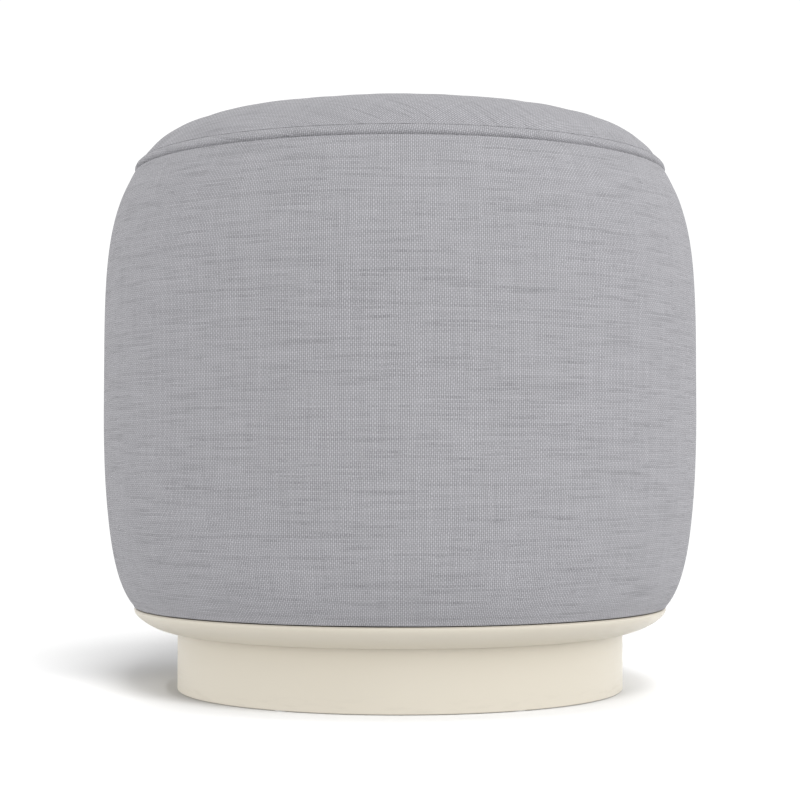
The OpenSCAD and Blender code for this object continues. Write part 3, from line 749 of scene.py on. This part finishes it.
def plywood():
    """Birch plywood: streaked grain on the faces, light and dark plies on the edges."""
    f = Finish("plywood", (0.74, 0.58, 0.38), 0.6)
    place = f.place()
    grain = f.noise(f.stretched(place, 9, 170, 40), 1, 4, 0.6)
    figure = f.noise(f.stretched(place, 5, 24, 5), 1, 2)
    face = f.mix(f.math("MULTIPLY_ADD", grain, 0.7, f.math("MULTIPLY", figure, 0.3)),
                 (0.84, 0.71, 0.51), (0.60, 0.43, 0.25))
    plies = f.math("SINE", f.math("MULTIPLY", f.parts(place)[2], TURN / (3 * MM)))
    edge = f.mix(f.span(plies, -0.4, 0.4), (0.42, 0.28, 0.16), (0.76, 0.61, 0.41))
    upward = f.math("ABSOLUTE", f.parts(f.node("NewGeometry").outputs["Normal"])[2])
    f.colour(f.mix(f.span(upward, 0.5, 0.8), edge, face))
    f.roughness(f.span(grain, 0.3, 0.7, 0.55, 0.72))
    f.bump(grain, 0.12 * MM, 0.6)
    return f.material


def softwood(name, x, y, z):
    """Planed pine; x, y and z squeeze the pattern across the grain and stretch it along it."""
    f = Finish(name, (0.78, 0.62, 0.40), 0.6)
    place = f.place()
    bend = f.noise(f.stretched(place, 0.12 * x, 0.12 * y, 0.12 * z), 1, 1)
    rings = f.math("SINE", f.math("MULTIPLY", bend, 70))
    fibre = f.noise(f.stretched(place, 1.4 * x, 1.4 * y, 1.4 * z), 1, 3, 0.6)
    tone = f.math("MULTIPLY_ADD", rings, 0.22, f.math("MULTIPLY", fibre, 0.8))
    f.colour(f.mix(f.span(tone, 0.1, 0.8), (0.86, 0.73, 0.51), (0.66, 0.45, 0.24)))
    f.roughness(f.span(fibre, 0.3, 0.7, 0.52, 0.7))
    f.bump(tone, 0.1 * MM, 0.6)
    return f.material


def fibreboard():
    """Brown hardboard: pressed fibres, darker flecks, and a slight shine where it was pressed smooth."""
    f = Finish("fibreboard", (0.36, 0.23, 0.14), 0.62)
    place = f.place()
    fibres = f.noise(f.stretched(place, 500, 500, 260), 1, 4, 0.7)
    cloud = f.noise(place, 14, 2)
    flecks = f.span(f.noise(f.stretched(place, 260, 260, 900), 1, 2), 0.62, 0.7)
    body = f.mix(f.math("MULTIPLY_ADD", fibres, 0.7, f.math("MULTIPLY", cloud, 0.3)),
                 (0.24, 0.14, 0.08), (0.52, 0.36, 0.23))
    f.colour(f.mix(f.math("MULTIPLY", flecks, 0.6), body, (0.14, 0.08, 0.05)))
    f.roughness(f.span(fibres, 0.3, 0.7, 0.5, 0.72))
    f.bump(fibres, 0.08 * MM, 0.6)
    return f.material


def steel(name, dark, light, smooth, rough, patch_size, scratch_depth):
    """Bare or zinc-plated steel: cloudy plating, fine handling marks and a brushed sheen."""
    f = Finish(name, light, smooth, Metallic=1.0)
    place = f.place()
    patches = f.noise(place, 1 / patch_size, 3)
    marks = f.noise(f.stretched(place, 1500, 240, 240), 1, 2)
    f.colour(f.mix(f.math("MULTIPLY_ADD", marks, 0.25, f.math("MULTIPLY", patches, 0.75)), dark, light))
    f.roughness(f.span(f.math("ADD", patches, marks), 0.7, 1.3, smooth, rough))
    f.bump(marks, scratch_depth, 0.5)
    return f.material


def nylon():
    """Milky moulded nylon: a spark-eroded grain and slightly glossy rubbed patches."""
    f = Finish("white_nylon", (0.8, 0.8, 0.77), 0.45, Subsurface_Weight=0.15)
    f.shader.inputs["Subsurface Scale"].default_value = 1 * MM
    place = f.place()
    grain = f.noise(place, 2200, 2)
    rubbed = f.noise(place, 90, 3)
    f.colour(f.mix(rubbed, (0.76, 0.76, 0.72), (0.86, 0.86, 0.84)))
    f.roughness(f.span(rubbed, 0.35, 0.65, 0.32, 0.52))
    f.bump(grain, 0.03 * MM, 0.6)
    return f.material


def foam():
    """Open-cell foam: small cells whose pores are darkened with painted shade, yellowed in clouds."""
    f = Finish("foam", (0.88, 0.80, 0.55), 0.95, Sheen_Weight=0.1)
    place = f.place()
    cells = f.node("TexVoronoi")
    f.feed(cells.inputs["Vector"], place)
    cells.inputs["Scale"].default_value = 620
    pores = f.span(cells.outputs["Distance"], 0.05, 0.55)
    cloud = f.noise(place, 12, 3)
    wall = f.mix(cloud, (0.90, 0.84, 0.62), (0.80, 0.69, 0.42))
    # The dark mixed into the pores is painted shade in the cells' hollows.
    f.colour(f.mix(pores, f.mix(0.45, wall, (0.42, 0.33, 0.16)), wall))
    f.roughness(f.span(pores, 0.0, 1.0, 1.0, 0.88))
    f.bump(pores, 0.5 * MM, 0.8)
    return f.material


def batting():
    """Polyester wadding: tangled white fibres over soft lumps, with painted shade between the fibres and
    where the lumps dip.
    """
    f = Finish("batting", (0.86, 0.86, 0.84), 1.0, Sheen_Weight=0.35, Sheen_Roughness=0.5)
    place = f.place()
    sway = f.noise(place, 70, 2)
    one = f.noise(f.stretched(f.vector(*[f.math("ADD", p, f.math("MULTIPLY", sway, 0.02))
                                         for p in f.parts(place)]), 1300, 120, 300), 1, 2)
    two = f.noise(f.stretched(place, 150, 1200, 420), 1, 2)
    fibres = f.math("MAXIMUM", one, two)
    lumps = f.noise(place, 55, 3)
    # Painted shade: the wadding is darker between the fibres and where the lumps dip.
    f.colour(f.mix(f.math("MULTIPLY_ADD", fibres, 0.6, f.math("MULTIPLY", lumps, 0.4)),
                   (0.66, 0.66, 0.65), (0.94, 0.94, 0.93)))
    f.roughness(f.span(fibres, 0.3, 0.7, 1.0, 0.86))
    f.bump(f.math("MULTIPLY_ADD", lumps, 3.0, fibres), 0.6 * MM, 0.8)
    return f.material


def strap_weave():
    """Furniture webbing: a tight brown weave with two dark stripes along each strap, and painted shade in
    the hollows of the weave.
    """
    f = Finish("webbing", (0.30, 0.23, 0.16), 0.85, Sheen_Weight=0.1)
    uv = f.cloth_uv()
    across, along_strap = f.parts(uv)[0:2]
    pitch = 1.7 * MM
    warp = f.math("SINE", f.math("MULTIPLY", across, TURN / pitch))
    weft = f.math("SINE", f.math("MULTIPLY", along_strap, TURN / pitch))
    weave = f.math("MULTIPLY", warp, weft)
    stripe = f.span(f.math("ABSOLUTE", f.math("SUBTRACT", f.math("ABSOLUTE", across), 15.5 * MM)),
                    2.2 * MM, 2.6 * MM, 1.0, 0.0)
    thread = f.noise(f.stretched(uv, 620, 14, 1), 1, 2)
    ground = f.mix(thread, (0.24, 0.17, 0.11), (0.52, 0.42, 0.29))
    striped = f.mix(f.math("MULTIPLY", stripe, 0.85), ground, (0.07, 0.055, 0.045))
    # The near-black mixed in where the weave dips is painted shade in its hollows.
    f.colour(f.mix(f.span(weave, -1.0, 0.2, 0.45, 0.0), striped, (0.05, 0.035, 0.02)))
    f.roughness(f.span(weave, -1.0, 1.0, 0.95, 0.75))
    f.bump(weave, 0.3 * MM, 0.8)
    return f.material


def dust_cloth():
    """Black spun-bonded cloth: a grid of small pressed dots among the fibres."""
    f = Finish("dust_cloth", (0.03, 0.03, 0.033), 0.85, Sheen_Weight=0.15)
    place = f.place()
    x, y = f.parts(place)[0:2]
    wave = TURN / (2.6 * MM)
    dots = f.math("MULTIPLY", f.math("COSINE", f.math("MULTIPLY", x, wave)),
                  f.math("COSINE", f.math("MULTIPLY", y, wave)))
    pressed = f.span(dots, 0.45, 0.7)
    fibres = f.noise(f.stretched(place, 900, 260, 260), 1, 3, 0.7)
    f.colour(f.mix(fibres, (0.012, 0.012, 0.014), (0.065, 0.065, 0.07)))
    f.roughness(f.span(pressed, 0.0, 1.0, 0.9, 0.55))
    f.bump(f.math("MULTIPLY_ADD", pressed, -1.0, fibres), 0.15 * MM, 0.8)
    return f.material


def twisted(name, dark, light, ring_r, middle_z, strands, lay, depth):
    """Cord or thread laid round the seam; its strands turn round it once in each lay of its length, with
    painted shade in the grooves between them.
    """
    f = Finish(name, light, 0.9, Sheen_Weight=0.2)
    place = f.place()
    x, y, z = f.parts(place)[0:3]
    round_axis = f.math("ARCTAN2", y, x)
    out = f.math("SUBTRACT", f.math("SQRT", f.math("MULTIPLY_ADD", x, x, f.math("MULTIPLY", y, y))), ring_r)
    round_cord = f.math("ARCTAN2", f.math("SUBTRACT", z, middle_z), out)
    turns = round(TURN * ring_r / lay) * strands
    phase = f.math("MULTIPLY_ADD", round_axis, turns, f.math("MULTIPLY", round_cord, strands))
    strand = f.math("ABSOLUTE", f.math("SINE", f.math("MULTIPLY", phase, 0.5)))
    fibres = f.noise(f.stretched(place, 900, 900, 900), 1, 3, 0.7)
    # The dark colour between the strands is painted shade in the grooves of the lay.
    f.colour(f.mix(f.math("MULTIPLY_ADD", strand, 0.75, f.math("MULTIPLY", fibres, 0.25)), dark, light))
    f.roughness(f.span(strand, 0.0, 1.0, 1.0, 0.8))
    f.bump(f.math("MULTIPLY_ADD", fibres, 0.2, strand), depth, 0.9)
    return f.material


def fill(piece, material):
    """Gives every slot of a piece one material."""
    slots = piece.data.materials
    if not len(slots):
        slots.append(material)
    for i in range(len(slots)):
        slots[i] = material


# ---- Assembly ----------------------------------------------------------------------------------

cloth = upholstery()
cream = lacquer()

side, side_round, side_tall = side_cover()
top, top_flat_r = top_cover()
welt, welt_wide = welt_cover()
for piece, node in ((side, "side_cover"), (top, "top_cover"), (welt, "welt_cover")):
    fill(piece, cloth)
    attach(piece, "seat")
    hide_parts(node)
dust, dust_r = dust_cover()
pads = padding()
straps = [(webbing("straps_side_side", False), "webbing_side_side"),
          (webbing("straps_front_back", True), "webbing_front_back")]

foam_finish, batting_finish = foam(), batting()
for piece, node, fullness in pads:
    fill(piece, foam_finish if "foam" in piece.name else batting_finish)
    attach(piece, "seat")
    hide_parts(node)
strap_finish = strap_weave()
for piece, node in straps:
    fill(piece, strap_finish)
    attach(piece, "seat")
    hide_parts(node)
fill(dust, dust_cloth())
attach(dust, "seat")
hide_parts("dust_cover")

seam_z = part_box("seam_thread")[1].z
cad_finishes = [
    (cream, ["base_dish", "plinth_wall"]),
    (plywood(), ["frame_base_board", "frame_top_ring", "plinth_top_board"]),
    (softwood("softwood_upright", 110, 110, 5), ["frame_posts"]),
    (softwood("softwood_level", 24, 24, 260), ["plinth_cleats"]),
    (fibreboard(), ["drum_wall"]),
    (steel("zinc_steel", (0.50, 0.52, 0.55), (0.70, 0.72, 0.74), 0.26, 0.44, 5 * MM, 0.01 * MM),
     ["swivel_lower_plate", "swivel_upper_plate", "swivel_eyelet", "lower_plate_screws",
      "upper_plate_screws", "cleat_screws", "post_screws", "dish_bolts", "bolt_washers", "tee_nuts",
      "cover_staples", "webbing_staples"]),
    (steel("polished_steel", (0.66, 0.66, 0.68), (0.80, 0.80, 0.82), 0.06, 0.16, 2 * MM, 0.002 * MM),
     ["bearing_balls"]),
    (nylon(), ["ball_cage", "floor_glides"]),
    (twisted("cord_filler", (0.62, 0.60, 0.55), (0.90, 0.89, 0.86), welt_ring_r, welt_z,
             3, 16 * MM, 0.5 * MM), ["welt_cord"]),
    (twisted("sewing_thread", (0.28, 0.28, 0.30), (0.55, 0.55, 0.57), seam_r - 1.8 * MM, seam_z - 0.3 * MM,
             3, 1.6 * MM, 0.06 * MM), ["seam_thread"]),
]
for material, names in cad_finishes:
    for name in names:
        fill(nodes[name], material)

# ---- Floor, light and camera -------------------------------------------------------------------

bpy.ops.mesh.primitive_circle_add(vertices=256, radius=1.0, fill_type="NGON")
floor = bpy.context.object
floor.name = "floor"
floor.visible_diffuse = False  # the sky's lower half stands for the light that the floor sends back
paper = Finish("white_floor", (0.54, 0.54, 0.54), 0.9)
paper.shader.inputs["Specular IOR Level"].default_value = 0
fill(floor, paper.material)

scene = bpy.context.scene
scene.view_settings.view_transform = "Standard"
scene.world = bpy.data.worlds.new("studio")
scene.world.use_nodes = True
sky = scene.world.node_tree
direction = sky.nodes.new("ShaderNodeTexCoord")
upward = sky.nodes.new("ShaderNodeSeparateXYZ")
strength = sky.nodes.new("ShaderNodeValToRGB")
sky.links.new(direction.outputs["Generated"], upward.inputs[0])
rise = sky.nodes.new("ShaderNodeMath")
rise.operation = "MULTIPLY_ADD"
rise.inputs[1].default_value = 0.5
rise.inputs[2].default_value = 0.5
sky.links.new(upward.outputs["Z"], rise.inputs[0])
sky.links.new(rise.outputs[0], strength.inputs["Fac"])
ramp = strength.color_ramp.elements
levels = [(0.0, 0.56), (0.40, 0.70), (0.455, 0.98), (0.70, 0.96), (1.0, 0.68)]
while len(ramp) < len(levels):
    ramp.new(0.5)
for stop, (at, level) in zip(ramp, levels):
    stop.position = at
    stop.color = (level, level, level, 1)
sky.links.new(strength.outputs["Color"], sky.nodes["Background"].inputs["Color"])
sky.nodes["Background"].inputs["Strength"].default_value = 1.08


def lamp_at(name, place, target, width, power, beam=None):
    """A lamp at place, turned to target: a square area light, or a soft spot where beam gives its cone."""
    data = bpy.data.lights.new(name, "SPOT" if beam else "AREA")
    data.energy = power
    if beam:
        data.spot_size, data.spot_blend, data.shadow_soft_size = math.radians(beam), 1.0, width / 2
    else:
        data.size = width
    lamp = bpy.data.objects.new(name, data)
    scene.collection.objects.link(lamp)
    lamp.location = place
    aim = np.array(target) - np.array(place)
    lamp.rotation_euler = Vector(aim).to_track_quat("-Z", "Y").to_euler()
    return lamp


lamp_at("key", (2.45, -1.0, 1.3), (0, 0, 0.2), 1.6, 12.5)
lamp_at("fill", (0.5, -2.6, 1.0), (0, 0, 0.2), 2.0, 6.5)
floor_only = bpy.data.collections.new("lit_by_floor_lights")
floor_only.objects.link(floor)
for name, place, target, width, power, beam in (
    ("floor_light_front", (0.95, -5.3, 7.0), (0, 0, 0), 3.0, 900, None),
    ("floor_light_top", (0.3, -1.0, 7.0), (0, 0, 0), 2.4, 165, None),
    ("floor_spot_right", (1.7, 0.6, 1.4), (0.22, 0.12, 0), 0.1, 182, 12),
    ("floor_spot_left", (-1.2, -0.7, 2.6), (-0.27, -0.05, 0), 0.1, 125, 5.7),
):
    lamp = lamp_at(name, place, target, width, power, beam)
    lamp.light_linking.receiver_collection = floor_only

camera_data = bpy.data.cameras.new("camera")
camera_data.sensor_width = 36
camera_data.lens = 85.5
camera_data.clip_start = 0.01
camera = bpy.data.objects.new("camera", camera_data)
scene.collection.objects.link(camera)
camera.location = (0, -1.482, 0.1737)
camera.rotation_euler = (math.radians(90 + 1.885), 0, 0)
scene.camera = camera
